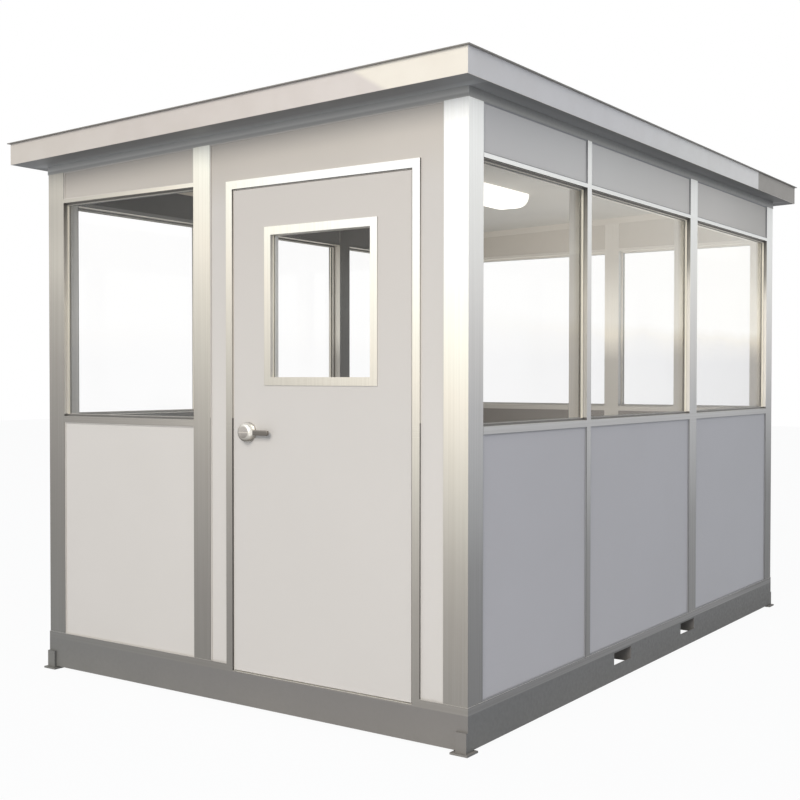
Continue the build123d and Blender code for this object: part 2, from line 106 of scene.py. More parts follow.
class Finish:
    """One finish of the booth: a material, its shader, and the nodes behind it."""

    def __init__(self, name, constants):
        self.material = bpy.data.materials.new(name)
        self.material.use_nodes = True
        self.tree = self.material.node_tree
        self.tree.nodes.clear()
        self.shader = self.tree.nodes.new("ShaderNodeBsdfPrincipled")
        self.output = self.tree.nodes.new("ShaderNodeOutputMaterial")
        self.tree.links.new(self.shader.outputs[0], self.output.inputs[0])
        for socket, value in constants.items():
            self.shader.inputs[socket].default_value = value
        self.place = self.add("ShaderNodeTexCoord", {}, {}, "Object")
        self.x, self.y, self.z = self.split(self.place)

    def feed(self, socket, value):
        if isinstance(value, Wire):
            self.tree.links.new(value.socket, socket)
        else:
            socket.default_value = value

    def add(self, kind, settings, sockets, output=0):
        made = self.tree.nodes.new(kind)
        for name, value in settings.items():
            if name == "stops":
                stops = made.color_ramp.elements
                stops.remove(stops[1])
                for index, (position, colour) in enumerate(value):
                    stop = stops.new(position) if index else stops[0]
                    stop.position, stop.color = position, colour
            else:
                setattr(made, name, value)
        for socket, value in sockets.items():
            self.feed(made.inputs[socket], value)
        return Wire(self, made.outputs[output])

    def split(self, vector):
        return [self.add("ShaderNodeSeparateXYZ", {}, {0: vector}, axis) for axis in "XYZ"]

    def noise(self, scale, detail=3.0, stretch=(1, 1, 1), rough=0.5):
        where = self.add("ShaderNodeMapping", {}, {"Vector": self.place, "Scale": stretch})
        return self.add("ShaderNodeTexNoise", {}, {"Vector": where, "Scale": scale, "Detail": detail,
                                                   "Roughness": rough})

    def fade(self, value, low, high, start=0.0, end=1.0):
        """Turns a value's run from low to high into a smooth run from start to end."""
        return self.add("ShaderNodeMapRange", {"interpolation_type": "SMOOTHSTEP"},
                        {0: value, 1: low, 2: high, 3: start, 4: end})

    def blend(self, factor, first, second, how="MIX"):
        return self.add("ShaderNodeMix", {"data_type": "RGBA", "blend_type": how},
                        {0: factor, 6: first, 7: second}, 2)

    def dulled(self, amount, tone, by):
        """A tone, multiplied by a second one as far as the amount says."""
        return self.blend(amount, tone, self.blend(1.0, tone, by, "MULTIPLY"))

    def bands(self, value, *rows):
        """Colours by a measure in metres: rows of measure, red, green, blue, even in between."""
        low, span = rows[0][0], rows[-1][0] - rows[0][0]
        stops = [((row[0] - low) / span, tint(*row[1:])) for row in rows]
        return self.add("ShaderNodeValToRGB", {"stops": stops}, {0: (value - low) * (1.0 / span)})

    def facing(self):
        """The direction a surface faces, as three parts."""
        return self.split(self.add("ShaderNodeTexCoord", {}, {}, "Normal"))

    def faces_side(self):
        """Whether a surface faces one of the long sides."""
        return abs(self.facing()[0]) > squarely

    def depths(self):
        """How deep a point lies behind the outer faces of the long walls, and of the end walls."""
        return half_width - abs(self.x), half_length - abs(self.y)

    def indoors(self):
        """Whether a point lies on the room's side of all four walls."""
        side, end = self.depths()
        return (side > mid_wall) * (end > mid_wall)

    def bump(self, height, distance, strength=1.0):
        normal = self.add("ShaderNodeBump", {}, {"Height": height, "Distance": distance,
                                                 "Strength": strength})
        self.feed(self.shader.inputs["Normal"], normal)

    def colour(self, value):
        self.feed(self.shader.inputs["Base Color"], value)

    def gloss(self, noise, smooth, rough, high=0.7):
        """Roughness from smooth to rough, as a noise runs from its low values to its high ones."""
        self.feed(self.shader.inputs["Roughness"], self.fade(noise, 0.3, high, smooth, rough))

    def on(self, *nodes):
        """Gives this finish to whole nodes of the booth."""
        for name in nodes:
            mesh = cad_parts[name].data
            mesh.materials.clear()
            mesh.materials.append(self.material)


enamel = Finish("skid_enamel", {"Metallic": 0.0})
mottle = enamel.noise(2.2, 5.0)
speck = enamel.noise(60.0, 2.0)
dust = enamel.fade(enamel.z, 0.16, 0.0)
# Painted shade: the side rails are painted darker than the end rails, darkening towards the back, and
# the end rails are painted lighter towards the right.
rail_tone_with_shade = enamel.blend(enamel.faces_side(),
                         enamel.bands(enamel.x, (-1.2, 113, 112, 109), (0.0, 120, 117, 114),
                                      (1.2, 127, 123, 119)),
                         enamel.bands(enamel.y, (-1.8, 100, 100, 99), (1.8, 76, 76, 75)))
enamel_coat_with_shade = enamel.dulled(1 - mottle, rail_tone_with_shade, tint(244, 244, 244))
enamel.colour(enamel.blend(dust * mottle * 0.3, enamel_coat_with_shade, tint(150, 145, 134)))
enamel.gloss(speck + dust * 0.3, 0.42, 0.62, 1.0)
enamel.bump(enamel.noise(260.0, 2.0), 0.0004, 0.35)
enamel.on("base_rail_front", "base_rail_right", "base_rail_back", "base_rail_left",
          "fork_channel_front", "fork_channel_back", "floor_joists", "feet")

# ------------------------------------------------------------------------------------------------
# Floor: a steel plate on the joists, covered in grey sheet vinyl with a fine fleck and the dull
# patches that feet leave.
# ------------------------------------------------------------------------------------------------
vinyl = Finish("floor_vinyl", {"Metallic": 0.0})
fleck = vinyl.noise(420.0, 1.0)
tread = vinyl.noise(3.0, 4.0)
vinyl.colour(vinyl.blend(vinyl.fade(fleck, 0.52, 0.62), tint(122, 121, 117), tint(158, 156, 150)))
vinyl.gloss(tread, 0.4, 0.6)
vinyl.bump(fleck, 0.0003, 0.3)
vinyl.on("floor_deck")

# ------------------------------------------------------------------------------------------------
# Aluminium frame: extruded posts, studs, tracks, door frame and window sections, clear anodised. The
# die leaves fine lines along each length. High up the metal is painted bright as a reflected sky;
# towards the ground it is painted darker as shade.
# ------------------------------------------------------------------------------------------------
anodised = Finish("anodised_post", {"Metallic": 0.35})
out_x, out_y, out_z = anodised.facing()
side_depth, end_depth = anodised.depths()
in_side_wall, in_end_wall = side_depth < wall_depth, end_depth < wall_depth
faces_side, faces_end = abs(out_x) > squarely, abs(out_y) > squarely
sill_rail, head_rail, track_band = (1.20, 1.254), (2.29, 2.32), 0.19
bead_setback, bead_end, bead_foot, lip_depth = 0.018, 0.034, 1.2625, 0.012

# The grain runs along each length: level in the rails and tracks, upright in the posts.
upright_grain = anodised.noise(170.0, 3.0, (1.0, 1.0, 0.006))
level_grain = anodised.noise(170.0, 3.0, (0.006, 0.006, 1.0))
lies_level = within(anodised.z, *sill_rail) + within(anodised.z, *head_rail) \
    + (anodised.z < track_band)
post_low, post_high = [corner[0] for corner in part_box("front_post")]
on_post = (side_depth < corner_face) * (end_depth < corner_face) \
    + in_end_wall * within(anodised.x, post_low, post_high)
lies_level = lies_level * (1 - on_post * (anodised.z > track_band))
grain = upright_grain + lies_level * (level_grain - upright_grain)

# Painted sheen: the outer faces are painted brighter with height as a reflected sky, less so under the
# low side of the roof as painted shade, and brighter towards the right along the front; the foot of the
# near corner is painted darker as shade.
cloud = anodised.noise(1.3, 3.0)
painted_sheen_height = anodised.z + (cloud - 0.5) * 0.12
shaded_top = anodised.fade(anodised.z, 1.95, 2.3) * anodised.fade(anodised.x, 0.3, -1.0)
shaded_foot = anodised.fade(anodised.z, 1.2, 0.6) * anodised.fade(anodised.x, 0.8, 1.1)
along_front = anodised.x * 0.5 - shaded_top * 0.36 - shaded_foot * 0.12
end_painted_sheen = anodised.bands(painted_sheen_height + along_front * (anodised.y < 0.0),
                           (-0.4, 121, 120, 117), (0.1, 128, 125, 120), (0.4, 135, 131, 126),
                           (0.7, 147, 143, 137), (0.95, 158, 153, 146), (1.2, 176, 171, 162),
                           (1.45, 198, 193, 182), (1.7, 218, 212, 199), (1.95, 240, 233, 218),
                           (2.2, 252, 250, 236), (2.5, 255, 255, 252))
side_painted_sheen = anodised.bands(painted_sheen_height,
                            (0.2, 120, 119, 118), (0.45, 129, 128, 127), (0.7, 141, 140, 139),
                            (0.95, 168, 167, 166), (1.1, 180, 179, 178), (1.32, 194, 192, 190),
                            (1.55, 213, 210, 206), (1.8, 232, 229, 224), (2.05, 244, 242, 236),
                            (2.3, 252, 251, 246))
outside = anodised.blend(faces_side, end_painted_sheen, side_painted_sheen)

# The reveals round the windows are painted darker towards the heads and at the sills as shade, with a
# painted pool of light below the heads towards the back, and the beads in them have their own tone.
reveal = in_side_wall * (1 - in_end_wall) * (1 - faces_side) \
    + in_end_wall * (1 - in_side_wall) * (1 - faces_end)
hollow = anodised.bands(anodised.z, (1.262, 108, 106, 103), (1.264, 202, 198, 190),
                        (1.8, 202, 197, 187), (2.05, 164, 160, 153), (2.2, 142, 138, 131),
                        (2.28, 112, 109, 104))
lit_hollow = anodised.fade(anodised.y, -0.8, 0.6) * anodised.fade(anodised.z, 2.1, 1.9) * 0.7 \
    * (anodised.z > 1.263)
hollow = anodised.blend(lit_hollow, hollow, tint(252, 247, 238))
depth_in = anodised.add("ShaderNodeMath", {"operation": "MINIMUM"}, {0: side_depth, 1: end_depth})
set_back = (1 - reveal) * (depth_in > lip_depth) * (anodised.z > sill_rail[0])
bead = reveal * within(depth_in, bead_setback, bead_end)

# Indoors the metal is painted pale as light by the door and towards the front, with a painted band of
# light on the posts by the door, and painted dark as shade on the left wall, darker towards the back.
indoors = (side_depth > bead_end) * (end_depth > bead_end)
shaded_left_room = (anodised.x < left_lining) * (out_x > squarely) * (1 - in_end_wall)
lit_room = anodised.bands(anodised.z, (1.9, 222, 214, 200), (2.25, 190, 184, 174))
doorward = anodised.bands(anodised.z, (1.3, 186, 182, 174), (1.56, 196, 192, 184),
                          (1.72, 252, 247, 236), (1.95, 250, 245, 234), (2.25, 216, 209, 198))
doorward = anodised.blend(anodised.fade(anodised.y, 0.5, -0.8) * (anodised.z < 2.0), doorward,
                          tint(236, 230, 219))
lit_room = anodised.blend(out_y < -squarely, lit_room, doorward)
lit_room = anodised.blend(in_end_wall * (out_x > squarely), lit_room, tint(208, 207, 204))
room = anodised.blend(shaded_left_room, lit_room,
                      anodised.bands(anodised.y, (-1.5, 146, 146, 145), (0.3, 98, 98, 97)))

# All of these together, then the upward faces painted light, the downward faces painted dark as shade
# with a pale outer edge, and the foot of the far end painted darker as shade.
tone = anodised.blend(reveal + set_back, outside, hollow)
# Below their foot the sill beads are painted dark as shade.
tone = anodised.blend(bead, tone, anodised.blend(anodised.z < bead_foot, tint(240, 234, 218),
                                                 tint(118, 116, 112)))
tone = anodised.blend(indoors, tone, room)
tone = anodised.blend(out_z > squarely, tone, tint(250, 247, 240))
underside = (out_z < -squarely) * (anodised.z > head_rail[0] - 0.02)
tone = anodised.blend(underside, tone, anodised.blend(depth_in > lip_depth + 0.001, tint(86, 84, 81),
                                                      tint(236, 230, 218)))
shaded_far_foot = anodised.fade(anodised.y, 0.9, 1.8) * faces_side * anodised.fade(anodised.z, 1.6, 0.6)
tone = anodised.blend(shaded_far_foot * 0.55, tone, tint(70, 70, 70))
anodised.colour(anodised.dulled(anodised.fade(grain, 0.3, 0.7) * 0.2, tone, tint(214, 212, 206)))
anodised.gloss(grain, 0.34, 0.48)
anodised.bump(grain, 0.0004, 0.2)
anodised.on("corner_posts", "front_post", "back_post", "right_studs", "left_studs",
            "bottom_track", "front_window_frames", "right_window_frames", "back_window_frames",
            "left_window_frames", "threshold", "door_frame", "door_window_trim")

track = Finish("anodised_track", {"Metallic": 0.2})
# Painted shade: the track is painted darker close under the roof, and darker on the long sides than on
# the end walls.
under_roof = roof_underside + (track.x - half_width) * roof_fall - track.z
end_track = track.bands(under_roof, (0.0, 165, 164, 160), (0.012, 184, 182, 178),
                        (0.022, 200, 198, 193), (0.030, 172, 170, 166), (0.042, 180, 178, 173))
side_track = track.bands(under_roof, (0.0, 134, 133, 131), (0.02, 146, 145, 142),
                         (0.042, 166, 164, 160))
track.colour(track.blend(track.indoors(), track.blend(track.faces_side(), end_track, side_track),
                         tint(205, 197, 185)))
track.gloss(track.noise(70.0), 0.36, 0.5)
track.bump(track.noise(120.0), 0.0003, 0.2)
track.on("top_track")

# ------------------------------------------------------------------------------------------------
# Wall panels: coated sheet bonded over insulation, with a fine stipple rolled into the sheet. The
# coating is a warm light grey. On the long sides the panels under the sills are painted darker than
# those above as shade, the headers of the end walls are painted darker as the eave's shade, and indoors
# the left wall is painted dark as shade and the panels under the sills are darker.
# ------------------------------------------------------------------------------------------------
panel = Finish("panel_sheet", {"Metallic": 0.0})
stipple = panel.noise(210.0, 2.0)
waver = panel.noise(1.6, 3.0)
mid_window = 1.8
above = panel.z > mid_window
# Painted shade: on the long sides the panels below the sills are darker; on the end walls the headers
# darken under the eave.
side_tone = panel.blend(above, panel.bands(panel.y, (-1.8, 192, 189, 191), (1.8, 184, 182, 184)),
                        panel.bands(panel.y, (-1.8, 212, 208, 205), (-0.6, 220, 216, 210),
                                    (0.8, 220, 214, 206), (1.8, 196, 191, 183)))
end_low = panel.bands(panel.z, (1.2, 210, 205, 199), (2.1, 200, 195, 189))
end_tone = panel.blend(panel.fade(panel.z, 2.15, 2.4), end_low,
                       panel.bands(panel.x, (-1.2, 184, 177, 168), (0.0, 189, 182, 173),
                                   (1.2, 197, 190, 181)))
room_tone = panel.blend(above, tint(112, 107, 100), tint(184, 175, 162))
# Indoors the left wall is painted dark as shade.
room_tone = panel.blend(panel.x < left_lining, room_tone, tint(98, 97, 96))
sheet_tone = panel.blend(panel.indoors(), panel.blend(panel.faces_side(), end_tone, side_tone),
                         room_tone)
panel.colour(panel.dulled(panel.fade(waver, 0.3, 0.7) * 0.5, sheet_tone, tint(250, 250, 249)))
panel.gloss(stipple, 0.48, 0.62)
panel.bump(stipple, 0.0006, 0.35)
panel.on("front_panels", "right_panels", "back_panels", "left_panels", "door_panel_left",
         "door_panel_right", "door_panel_head")

# ------------------------------------------------------------------------------------------------
# Panel seals: a soft vinyl bead pushed in round each panel, between the sheet and the lips of the
# posts, rails and tracks, mitred at the corners.
# ------------------------------------------------------------------------------------------------
narrow_face, wide_face = 0.042, 0.102
track_drop, rail_bottom, rail_top = 0.040, 1.222, 2.312
wall_turn = {"front": 0.0, "right": 90.0, "back": 180.0, "left": 270.0}
wall_reach = {"front": half_length, "right": half_width, "back": half_length, "left": half_width}


def bays(reach, *posts):
    """The clear stretches of a wall between its posts, from the wall's middle, seen from outside."""
    edges = [corner_face - reach] + [edge for post in posts for edge in post] + [reach - corner_face]
    return list(zip(edges[0::2], edges[1::2]))


front_low, front_high = [corner[0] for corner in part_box("front_post")]
back_low, back_high = [corner[0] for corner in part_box("back_post")]
right_low, right_high = [corner[1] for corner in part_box("right_studs")]
left_low, left_high = [corner[1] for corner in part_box("left_studs")]
wall_bays = {"front": bays(half_width, (front_low, front_high)),
             "back": bays(half_width, (-back_high, -back_low)),
             "right": bays(half_length, (right_low, right_low + narrow_face),
                           (right_high - wide_face, right_high)),
             "left": bays(half_length, (-left_high, wide_face - left_high),
                          (-left_low - narrow_face, -left_low))}
window_bays = dict(wall_bays, front=wall_bays["front"][:1])
roof_fall_along = {"front": roof_fall, "right": 0.0, "back": -roof_fall, "left": 0.0}


def under_track(wall, along):
    """How high a wall's panels show below the top track, at a distance from the wall's middle."""
    middle = {"front": 0.0, "right": half_width, "back": 0.0, "left": -half_width}[wall]
    return roof_underside - track_drop + (middle - half_width) * roof_fall \
        + along * roof_fall_along[wall]


def bead_ring(name, wall, along, heights, face, deep, width, rounded, fall=0.0):
    """A four-sided bead in a wall, from the depth of its face to that of its back, with a top that
    falls like the roof."""
    bpy.ops.mesh.primitive_plane_add(size=1)
    ring = bpy.context.object
    ring.name = ring.data.name = name
    bpy.ops.object.mode_set(mode="EDIT")
    bpy.ops.transform.resize(value=(along[1] - along[0], heights[1] - heights[0], 1))
    bpy.ops.mesh.inset(thickness=width, depth=0)
    bpy.ops.mesh.delete(type="FACE")
    bpy.ops.object.mode_set(mode="OBJECT")
    thick = ring.modifiers.new("section", "SOLIDIFY")
    thick.thickness, thick.offset = deep - face, -1.0
    soft = ring.modifiers.new("soft_edge", "BEVEL")
    soft.width, soft.segments = rounded, 2
    for modifier in ("section", "soft_edge"):
        bpy.ops.object.modifier_apply(modifier=modifier)
    for vertex in ring.data.vertices:
        if vertex.co.y > 0:
            vertex.co.y += vertex.co.x * fall
    turn = math.radians(wall_turn[wall])
    ring.rotation_euler = (math.radians(90.0), 0.0, turn)
    ring.location = Matrix.Rotation(turn, 3, "Z") @ Vector((sum(along) / 2, face - wall_reach[wall],
                                                            sum(heights) / 2))
    bpy.ops.object.transform_apply(location=True, rotation=True, scale=True)
    bpy.ops.object.select_all(action="DESELECT")
    return ring


def merge(pieces):
    """Makes one object of several and leaves it selected."""
    for piece in pieces:
        piece.select_set(True)
    bpy.context.view_layer.objects.active = pieces[0]
    if len(pieces) > 1:
        bpy.ops.object.join()
    return bpy.context.object


def finished(name, pieces, finish, body):
    """Makes one piece of several, with its finish and the body that it moves with."""
    whole = merge(pieces)
    whole.name = whole.data.name = name
    whole.data.materials.clear()
    whole.data.materials.append(finish.material)
    bpy.ops.object.shade_smooth_by_angle(angle=math.radians(35.0))
    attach(whole, body)
    bpy.ops.object.select_all(action="DESELECT")
    return whole


vinyl_seal = Finish("seal_vinyl", {"Metallic": 0.0})
seal_cloud = vinyl_seal.noise(9.0)
# The seals on the long sides are painted darker than those on the end walls, as the shade in their
# joints.
in_long_wall = vinyl_seal.depths()[0] < 0.03
end_seal = vinyl_seal.blend(seal_cloud, tint(196, 191, 184), tint(206, 200, 193))
side_seal = vinyl_seal.blend(seal_cloud, tint(150, 149, 150), tint(164, 163, 164))
vinyl_seal.colour(vinyl_seal.blend(in_long_wall, end_seal, side_seal))
vinyl_seal.gloss(vinyl_seal.noise(120.0), 0.5, 0.65)
vinyl_seal.bump(vinyl_seal.noise(300.0), 0.0002, 0.3)

seal_width, seal_tuck, seal_face, sheet_face, seal_round = 0.0085, 0.004, 0.0043, 0.0088, 0.0012
for wall, spans in window_bays.items():
    rings = []
    for start, end in spans:
        reach = (start - seal_tuck, end + seal_tuck)
        middle = under_track(wall, (start + end) / 2)
        lower, upper = (track_top, rail_bottom, 0.0), (rail_top, middle, roof_fall_along[wall])
        for low, high, fall in (lower, upper):
            rings.append(bead_ring("seal", wall, reach, (low - seal_tuck, high + seal_tuck), seal_face,
                                   sheet_face, seal_width, seal_round, fall))
    finished(f"{wall}_panel_seals", rings, vinyl_seal, "booth")

door_bay = wall_bays["front"][1]
door_seal_top = under_track("front", sum(door_bay) / 2) + seal_tuck
spare = 0.02
door_bay_seal = bead_ring("seal", "front", (door_bay[0] - seal_tuck, door_bay[1] + seal_tuck),
                          (track_top - spare, door_seal_top), seal_face, sheet_face, seal_width,
                          seal_round, roof_fall)


def cut_below(piece, height):
    """Takes off what lies below a height and closes the ends."""
    piece.select_set(True)
    bpy.context.view_layer.objects.active = piece
    bpy.ops.object.mode_set(mode="EDIT")
    bpy.ops.mesh.select_all(action="SELECT")
    bpy.ops.mesh.bisect(plane_co=(0, 0, height), plane_no=(0, 0, 1), use_fill=True, clear_inner=True)
    bpy.ops.object.mode_set(mode="OBJECT")


cut_below(door_bay_seal, track_top)
finished("door_bay_seal", [door_bay_seal], vinyl_seal, "booth")

# ------------------------------------------------------------------------------------------------
# Glass: clear float panes held between the beads. Seen along the wall they carry a painted reflection:
# a pale sky, and below eye height the duller ground. Each wears a faint smear where it has been wiped.
# ------------------------------------------------------------------------------------------------
pane = Finish("window_pane", {"Metallic": 1.0, "IOR": 1.45})
smear = pane.noise(3.0, 4.0)
skyline = pane.z + (smear - 0.5) * 0.10
# Painted reflection: the mirror's colour is a pale sky above eye height and a duller ground below it,
# and it shows more strongly above eye height.
pane.colour(pane.bands(skyline, (1.52, 168, 168, 172), (1.60, 200, 196, 190), (1.66, 236, 230, 216),
                       (1.72, 255, 254, 248)))
pane.gloss(smear, 0.02, 0.05)
slant = pane.add("ShaderNodeLayerWeight", {}, {"Blend": 0.5}, "Facing")
slant_squared = slant * slant
mirrored = slant_squared * slant_squared * slant * pane.fade(skyline, 1.58, 1.68, 1.3, 1.8)
pane.feed(pane.shader.inputs["Alpha"], mirrored + pane.fade(smear, 0.3, 0.7, 0.006, 0.012))
pane.on("front_glass", "right_glass", "back_glass", "left_glass", "door_glass")

# ------------------------------------------------------------------------------------------------
# Glazing seals: a thin grey rubber lip on each side of a pane, pressed in against the beads.
# ------------------------------------------------------------------------------------------------
rubber = Finish("glazing_rubber", {"Metallic": 0.0})
rubber.colour(rubber.blend(rubber.noise(40.0), tint(146, 144, 140), tint(158, 156, 151)))
rubber.gloss(rubber.noise(90.0), 0.5, 0.7)
rubber.bump(rubber.noise(400.0), 0.0002, 0.3)

bead_width, pane_outer, pane_inner = 0.010, 0.030, 0.036
lip_out, lip_width, lip_round = 0.0018, 0.003, 0.0006
frame_bottom, frame_top = 1.252, 2.294
clear_heights = (frame_bottom + bead_width, frame_top - bead_width)
for wall, spans in window_bays.items():
    rings = []
    for start, end in spans:
        clear = (start + bead_width, end - bead_width)
        for face, deep in ((pane_outer - lip_out, pane_outer), (pane_inner, pane_inner + lip_out)):
            rings.append(bead_ring("lip", wall, clear, clear_heights, face, deep, lip_width, lip_round))
    finished(f"{wall}_glazing_seals", rings, rubber, "booth")

# ------------------------------------------------------------------------------------------------
# Door: a flush insulated leaf in the walls' grey, rolled with a slight stipple. Its frame and the
# trim round its window are aluminium like the posts.
# ------------------------------------------------------------------------------------------------
leaf = Finish("door_leaf_paint", {"Metallic": 0.0})
roller = leaf.noise(240.0, 2.0)
# The leaf is painted a little darker towards its top, as the eave's shade.
leaf_tone = leaf.bands(leaf.z, (0.2, 211, 206, 200), (1.3, 208, 203, 197), (2.2, 201, 195, 188))
leaf.colour(leaf.dulled(leaf.noise(1.4, 3.0), leaf_tone, tint(249, 249, 249)))
leaf.gloss(roller, 0.42, 0.55)
leaf.bump(roller, 0.0005, 0.25)
leaf.on("door_leaf")

# ------------------------------------------------------------------------------------------------
# Door seal: a grey bulb of rubber round the inside of the door frame, in the gap beside the leaf.
# ------------------------------------------------------------------------------------------------
frame_box, leaf_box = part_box("door_frame"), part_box("door_leaf")
jamb_face, opening_foot = 0.0355, 0.157
bulb_width, bulb_face, bulb_deep, bulb_round = 0.0045, 0.0092, 0.024, 0.0014
opening = (frame_box[0][0] + jamb_face, frame_box[1][0] - jamb_face)
bulb = bead_ring("bulb", "front", opening, (opening_foot - spare, frame_box[1][2] - jamb_face),
                 bulb_face, bulb_deep, bulb_width, bulb_round)
cut_below(bulb, opening_foot)
bulb_rubber = Finish("bulb_rubber", {"Metallic": 0.0})
bulb_rubber.colour(bulb_rubber.blend(bulb_rubber.noise(20.0), tint(196, 190, 181),
                                     tint(208, 202, 193)))
bulb_rubber.gloss(bulb_rubber.noise(90.0), 0.5, 0.7)
bulb_rubber.bump(bulb_rubber.noise(300.0), 0.0003, 0.3)
finished("door_seal", [bulb], bulb_rubber, "booth")

# ------------------------------------------------------------------------------------------------
# Lock and hinges: a cylindrical lever lock and three butt hinges, satin steel.
# ------------------------------------------------------------------------------------------------
satin = Finish("satin_steel", {"Metallic": 1.0})
turned = satin.noise(180.0, 3.0)
satin.colour(satin.blend(turned, tint(176, 173, 168), tint(194, 191, 186)))
satin.gloss(turned, 0.24, 0.36)
satin.bump(turned, 0.0002, 0.2)
satin.on("lock_case", "hinges_fixed", "hinges_moving")

# ------------------------------------------------------------------------------------------------
# Lever handle: on each side of the leaf a turned steel drum with a well-rounded rim, a turn-button
# across its face, and a flat lever with a rounded end. A round spindle joins the two.
# ------------------------------------------------------------------------------------------------
handle_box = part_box("lever_handle")
drum_radius, drum_depth, drum_rim, rose_depth = 0.040, 0.0275, 0.016, 0.0085
lever_start, lever_reach, lever_high, lever_thick, lever_sunk = 0.020, 0.135, 0.023, 0.012, 0.003
button_size, button_sunk = (0.052, 0.004, 0.005), 0.0005
spindle_radius, spindle_spare = 0.0085, 0.005
spindle_x, spindle_z = handle_box[0][0] + drum_radius, 1.205
outer_face, inner_face = leaf_box[0][1], leaf_box[1][1]
drum_front = outer_face - rose_depth - drum_depth


def close(piece, *modifiers):
    """Applies a piece's modifiers and puts its place into its mesh."""
    bpy.ops.object.mode_set(mode="OBJECT")
    for kind, settings in modifiers:
        made = piece.modifiers.new(kind.lower(), kind)
        for name, value in settings.items():
            setattr(made, name, value)
        bpy.ops.object.modifier_apply(modifier=made.name)
    bpy.ops.object.transform_apply(location=True, rotation=True, scale=True)
    bpy.ops.object.select_all(action="DESELECT")
    return piece


def select_faces(piece, wanted):
    """Selects, in edit mode, the faces whose centre and normal suit."""
    bpy.ops.mesh.select_mode(type="FACE")
    bpy.ops.mesh.select_all(action="DESELECT")
    bpy.ops.object.mode_set(mode="OBJECT")
    for face in piece.data.polygons:
        face.select = wanted(face.center, face.normal)
    bpy.ops.object.mode_set(mode="EDIT")


def drum():
    """The drum of the outer handle, with a shallow dish inside its rim."""
    bpy.ops.mesh.primitive_cylinder_add(vertices=96, radius=drum_radius, depth=drum_depth,
                                        rotation=(math.radians(90.0), 0.0, 0.0),
                                        location=(spindle_x, drum_front + drum_depth / 2, spindle_z))
    piece = bpy.context.object
    bpy.ops.object.mode_set(mode="EDIT")
    select_faces(piece, lambda centre, normal: normal.z > 0.5)
    bpy.ops.mesh.bevel(offset=drum_rim, segments=8, affect="EDGES")
    select_faces(piece, lambda centre, normal: normal.z > 0.999 and abs(centre.x) < 0.001)
    bpy.ops.mesh.inset(thickness=0.002, depth=0.0)
    bpy.ops.mesh.inset(thickness=0.0015, depth=-0.0008)
    return close(piece)


def button():
    """The turn-button: a slim bar with rounded edges, half sunk in the drum's face."""
    bpy.ops.mesh.primitive_cube_add(size=1, location=(spindle_x, drum_front + button_sunk, spindle_z))
    piece = bpy.context.object
    bpy.ops.object.mode_set(mode="EDIT")
    bpy.ops.transform.resize(value=button_size)
    return close(piece, ("BEVEL", {"width": 0.0012, "segments": 3}))


def lever_bar():
    """The lever: a flat bar from the drum, with a round end and softened edges."""
    length = lever_reach - lever_start
    bpy.ops.mesh.primitive_cube_add(size=1, location=(spindle_x + lever_start + length / 2,
                                                      drum_front + lever_sunk + lever_thick / 2,
                                                      spindle_z))
    piece = bpy.context.object
    bpy.ops.object.mode_set(mode="EDIT")
    bpy.ops.transform.resize(value=(length, lever_thick, lever_high))
    bpy.ops.mesh.select_mode(type="EDGE")
    bpy.ops.mesh.select_all(action="DESELECT")
    bpy.ops.object.mode_set(mode="OBJECT")
    for edge in piece.data.edges:
        ends = [piece.data.vertices[index].co for index in edge.vertices]
        edge.select = all(end.x > 0 for end in ends) and abs(ends[0].y - ends[1].y) > 0.001
    bpy.ops.object.mode_set(mode="EDIT")
    bpy.ops.mesh.bevel(offset=lever_high * 0.48, segments=10, affect="EDGES")
    return close(piece, ("BEVEL", {"width": 0.0022, "segments": 3, "limit_method": "ANGLE"}))


outer_handle = merge([drum(), lever_bar(), button()])
bpy.ops.object.select_all(action="DESELECT")
inner_handle = outer_handle.copy()
inner_handle.data = outer_handle.data.copy()
bpy.context.collection.objects.link(inner_handle)
middle = Vector((spindle_x, (outer_face + inner_face) / 2, spindle_z))
half_turn = Matrix.Translation(middle) @ Matrix.Rotation(math.pi, 4, "X") @ Matrix.Translation(-middle)
inner_handle.data.transform(half_turn)
spindle_length = inner_face - outer_face + 2 * (rose_depth + spindle_spare)
bpy.ops.mesh.primitive_cylinder_add(vertices=32, radius=spindle_radius, depth=spindle_length,
                                    rotation=(math.radians(90.0), 0.0, 0.0), location=middle)
spindle = close(bpy.context.object, ("BEVEL", {"width": 0.0008, "segments": 2,
                                               "limit_method": "ANGLE"}))

brushed = Finish("brushed_steel", {"Metallic": 0.9})
brush_lines = brushed.noise(220.0, 3.0, (0.06, 1.0, 1.0))
brushed_x, brushed_z = brushed.facing()[0::2]
dish_edge, dish_blur, root_start, root_end, root_blur = 0.025, 0.0015, 0.030, 0.050, 0.004
across, up = brushed.x - spindle_x, brushed.z - spindle_z
from_spindle = brushed.add("ShaderNodeMath", {"operation": "SQRT"}, {0: across * across + up * up})
# Painted light: the rim carries a painted highlight on its upper side and painted shade on its lower
# side, and the drum's face is painted darker towards its bottom as shade.
rim_highlight_and_shade = brushed.bands(brushed_x * 0.6 + brushed_z * 0.8, (-0.9, 104, 100, 94),
                         (-0.3, 150, 146, 139), (0.1, 206, 202, 194), (0.5, 255, 254, 248))
face_tone = brushed.bands(up, (-0.022, 142, 137, 131), (0.002, 184, 178, 172), (0.022, 194, 189, 182))
on_rim = brushed.fade(from_spindle, dish_edge - dish_blur, dish_edge + dish_blur)
drum_tone = brushed.blend(on_rim, face_tone, rim_highlight_and_shade)
on_button = abs(brushed.y - middle.y) > (inner_face - outer_face) / 2 + rose_depth + drum_depth
drum_tone = brushed.blend(on_button, drum_tone, tint(214, 208, 199))
